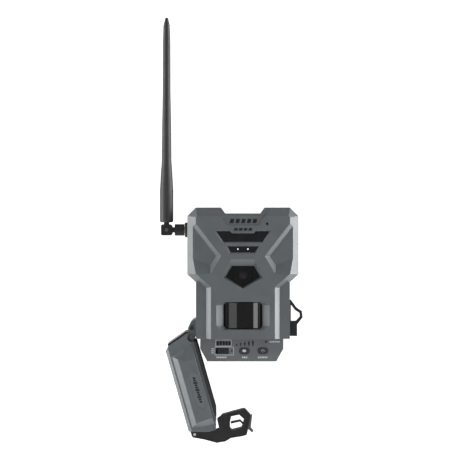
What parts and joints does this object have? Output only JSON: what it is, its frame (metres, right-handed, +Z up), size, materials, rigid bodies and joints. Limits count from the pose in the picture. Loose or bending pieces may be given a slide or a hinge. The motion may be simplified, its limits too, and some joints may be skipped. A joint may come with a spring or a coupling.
{
  "type": "trail camera",
  "caption": "Strap-on trail camera with hanging bottom door, side latch, folding whip antenna and motion sensor window.",
  "frame": {"origin": "centre of the tripod socket's mouth in the back of the body", "axes": "+Z up, the camera looks along -Y, +X is to the right when looking at the front"},
  "size_m": [0.1262, 0.074, 0.3757],
  "materials": {
    "housing_plastic": "moulded fine grain",
    "panel_plastic": "moulded fine grain",
    "seal_rubber": "matt",
    "black_screw": "black oxide",
    "plated_steel": "tin plated",
    "pin_steel": "ground",
    "pin_steel_dark": "blackened",
    "brass_insert": "knurled",
    "black_window": "polished, passes infrared",
    "clear_window": "smoked, polished",
    "lens_glass": "coated",
    "black_plastic": "satin",
    "latch_plastic": "satin, glass filled",
    "tab_plastic": "satin",
    "sensor_die": "polished",
    "circuit_board": "solder mask",
    "led_dark": "clear tinted",
    "led_white": "diffused",
    "pir_cover": "polished",
    "button_rubber": "satin",
    "card_plastic": "satin",
    "badge_plastic": "satin",
    "antenna_black": "matt",
    "cell_wrap": "printed wrap"
  },
  "bodies": {
    "housing": {"front_housing": "housing_plastic", "rear_housing": "housing_plastic", "lower_frame": "panel_plastic", "housing_gasket": "seal_rubber", "housing_screws": "black_screw", "board_screws": "plated_steel", "tripod_insert": "brass_insert", "flash_window": "black_window", "sensor_window": "black_window", "lens_window": "clear_window", "lens_barrel": "black_plastic", "lens_glass": "lens_glass", "lens_holder": "black_plastic", "image_sensor": "sensor_die", "camera_board": "circuit_board", "led_board": "circuit_board", "ir_leds": "led_dark", "status_leds": "led_white", "pir_lens": "pir_cover", "pir_holder": "black_plastic", "pir_sensor": "plated_steel", "pir_board": "circuit_board", "microphone": "plated_steel", "main_board": "circuit_board", "modem_shield": "plated_steel", "board_chips": "black_plastic", "control_board": "circuit_board", "slide_switch": "plated_steel", "tact_switches": "black_plastic", "power_lamp": "led_dark", "sd_socket": "plated_steel", "dc_jack": "black_plastic", "hinge_bracket": "housing_plastic", "hinge_pin": "pin_steel", "latch_keeper": "black_plastic", "antenna_connector": "brass_insert", "connector_nut": "plated_steel", "antenna_washer": "seal_rubber"},
    "door": {"hinge_leaf": "black_plastic", "door_shell": "housing_plastic", "door_badge": "badge_plastic", "door_gasket": "seal_rubber"},
    "latch": {"latch_lever": "latch_plastic", "latch_bars": "pin_steel_dark", "latch_pin": "pin_steel", "latch_tab": "tab_plastic"},
    "battery_tray": {"battery_tray": "panel_plastic", "tray_springs": "plated_steel", "tray_contacts": "plated_steel", "battery_cells_front": "cell_wrap", "battery_cells_back": "cell_wrap"},
    "antenna_nut": {"antenna_nut": "antenna_black"},
    "antenna_elbow": {"antenna_elbow": "antenna_black", "elbow_pin": "antenna_black"},
    "antenna_whip": {"antenna_whip": "antenna_black"},
    "mode_slider": {"mode_slider": "black_plastic"},
    "test_button": {"test_button": "button_rubber"},
    "power_button": {"power_button": "button_rubber"},
    "sd_card": {"sd_card": "card_plastic"}
  },
  "joints": [
    {"name": "door_hinge", "type": "hinge", "parent": "housing", "child": "door", "pos_m": [-0.0453, -0.038, -0.0608], "axis": [0, 1, 0], "range_deg": [-74, 16]},
    {"name": "latch_pivot", "type": "hinge", "parent": "door", "child": "latch", "pos_m": [-0.04239, -0.054, -0.14641], "axis": [0, 1, 0], "range_deg": [0, 105]},
    {"name": "antenna_nut_turn", "type": "hinge", "parent": "housing", "child": "antenna_nut", "pos_m": [-0.054, -0.044, 0.0336], "axis": [1, 0, 0], "continuous": true},
    {"name": "antenna_swivel", "type": "hinge", "parent": "housing", "child": "antenna_elbow", "pos_m": [-0.06, -0.044, 0.0336], "axis": [1, 0, 0], "range_deg": [-110, 110]},
    {"name": "antenna_fold", "type": "hinge", "parent": "antenna_elbow", "child": "antenna_whip", "pos_m": [-0.0675, -0.044, 0.0336], "axis": [0, -1, 0], "range_deg": [0, 90]},
    {"name": "mode_slide", "type": "slide", "parent": "housing", "child": "mode_slider", "axis": [1, 0, 0], "range_m": [-0.0022, 0]},
    {"name": "test_press", "type": "slide", "parent": "housing", "child": "test_button", "axis": [0, 1, 0], "range_m": [0, 0.0008], "stiffness_N_per_m": 800},
    {"name": "power_press", "type": "slide", "parent": "housing", "child": "power_button", "axis": [0, 1, 0], "range_m": [0, 0.0008], "stiffness_N_per_m": 800},
    {"name": "card_slide", "type": "slide", "parent": "housing", "child": "sd_card", "axis": [0, 0, -1], "range_m": [0, 0.02]},
    {"name": "tray_slide", "type": "slide", "parent": "housing", "child": "battery_tray", "axis": [0, 0, -1], "range_m": [0, 0.04]}
  ]
}
